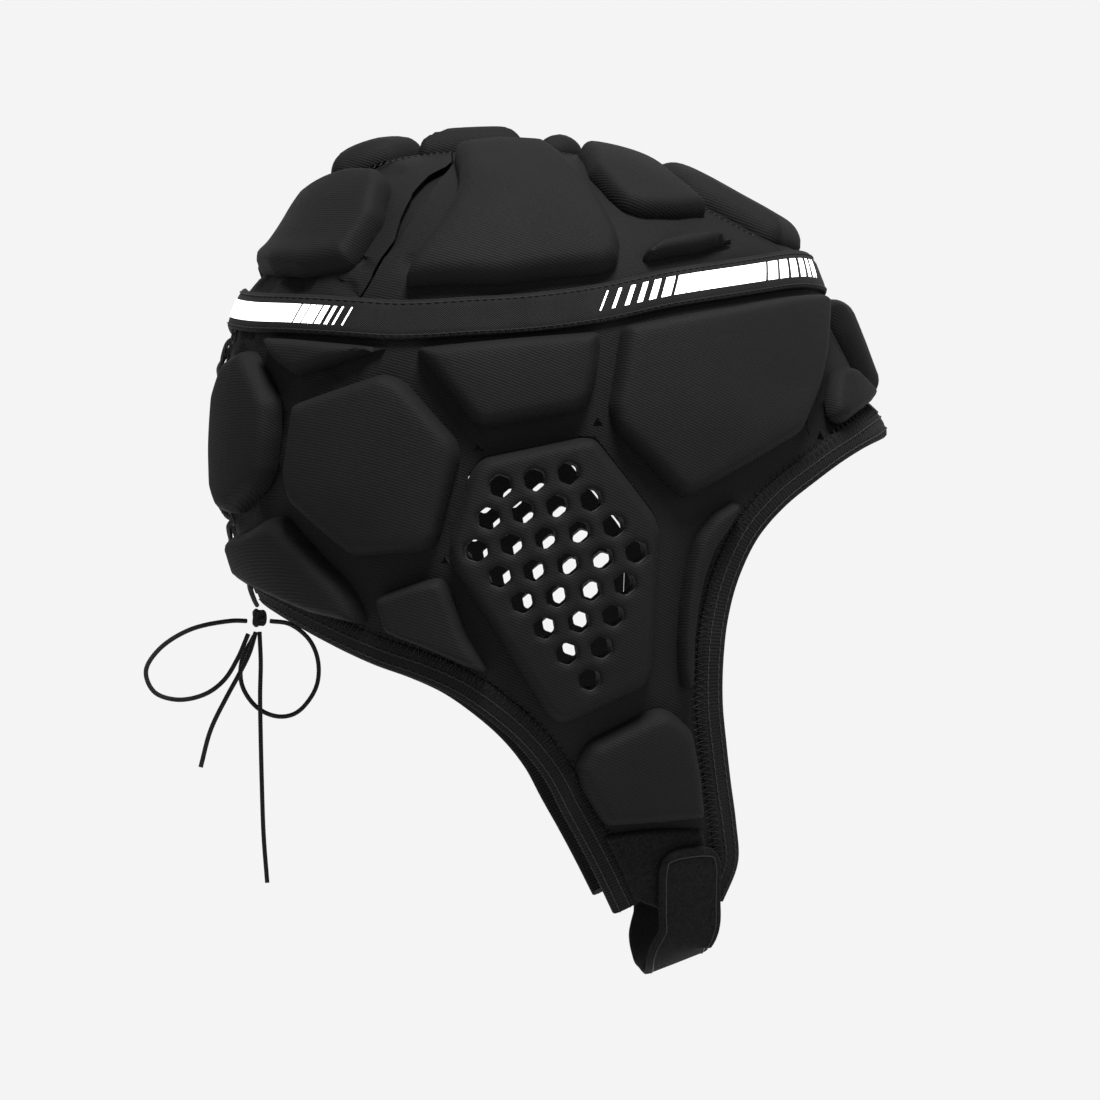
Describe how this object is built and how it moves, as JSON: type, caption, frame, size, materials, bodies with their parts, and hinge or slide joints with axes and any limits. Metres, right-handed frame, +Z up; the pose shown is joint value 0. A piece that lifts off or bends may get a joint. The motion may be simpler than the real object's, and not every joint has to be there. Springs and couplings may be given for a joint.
{
  "type": "rugby scrum cap",
  "caption": "Padded black rugby scrum cap with foam pads, pierced ear pads, striped headband, laced back and chin strap.",
  "frame": {"origin": "the inside of the crown, where the cap's lining rests on top of the head", "axes": "+Z up, the wearer faces -Y, the wearer's right is -X"},
  "size_m": [0.1754, 0.2404, 0.2735],
  "materials": {
    "jersey": "matt black stretch jersey laminated over foam",
    "knit": "black ribbed elastic knit",
    "webbing": "black woven band and strap cloth",
    "pile": "black looped pile for a touch fastening",
    "cord": "black round braided lace"
  },
  "bodies": {
    "root": {"back_lace_panel": "knit", "back_lacing": "cord", "brow_corner_pad_left": "jersey", "brow_corner_pad_right": "jersey", "brow_small_pad_left": "jersey", "brow_small_pad_right": "jersey", "cheek_edge_pad_left": "jersey", "cheek_edge_pad_right": "jersey", "chin_strap": "webbing", "crown_pad_1": "jersey", "crown_pad_2": "jersey", "crown_pad_3": "jersey", "crown_strip": "jersey", "ear_pad_left": "jersey", "ear_pad_right": "jersey", "face_binding": "knit", "forehead_pad": "jersey", "front_crown_pad": "jersey", "front_panel": "jersey", "front_slope_pad_left": "jersey", "front_slope_pad_right": "jersey", "headband": "webbing", "jaw_pad_left": "jersey", "jaw_pad_right": "jersey", "lace_bow_back": "cord", "lace_bow_front": "cord", "lace_knot": "cord", "lace_tail_long": "cord", "lace_tail_short": "cord", "loop_panel_right": "pile", "lower_rear_pad_left": "jersey", "lower_rear_pad_right": "jersey", "nape_pad_left": "jersey", "nape_pad_right": "jersey", "neck_binding_left": "knit", "neck_binding_right": "knit", "rear_edge_pad_left": "jersey", "rear_edge_pad_right": "jersey", "rear_side_pad_left": "jersey", "rear_side_pad_right": "jersey", "rear_sliver_pad_left": "jersey", "rear_sliver_pad_right": "jersey", "rear_top_pad_left": "jersey", "rear_top_pad_right": "jersey", "rear_top_panel": "jersey", "side_mid_pad_left": "jersey", "side_mid_pad_right": "jersey", "side_panel_left": "jersey", "side_panel_right": "jersey", "side_top_pad_left": "jersey", "side_top_pad_right": "jersey", "temple_pad_left": "jersey", "temple_pad_right": "jersey"}
  },
  "joints": []
}
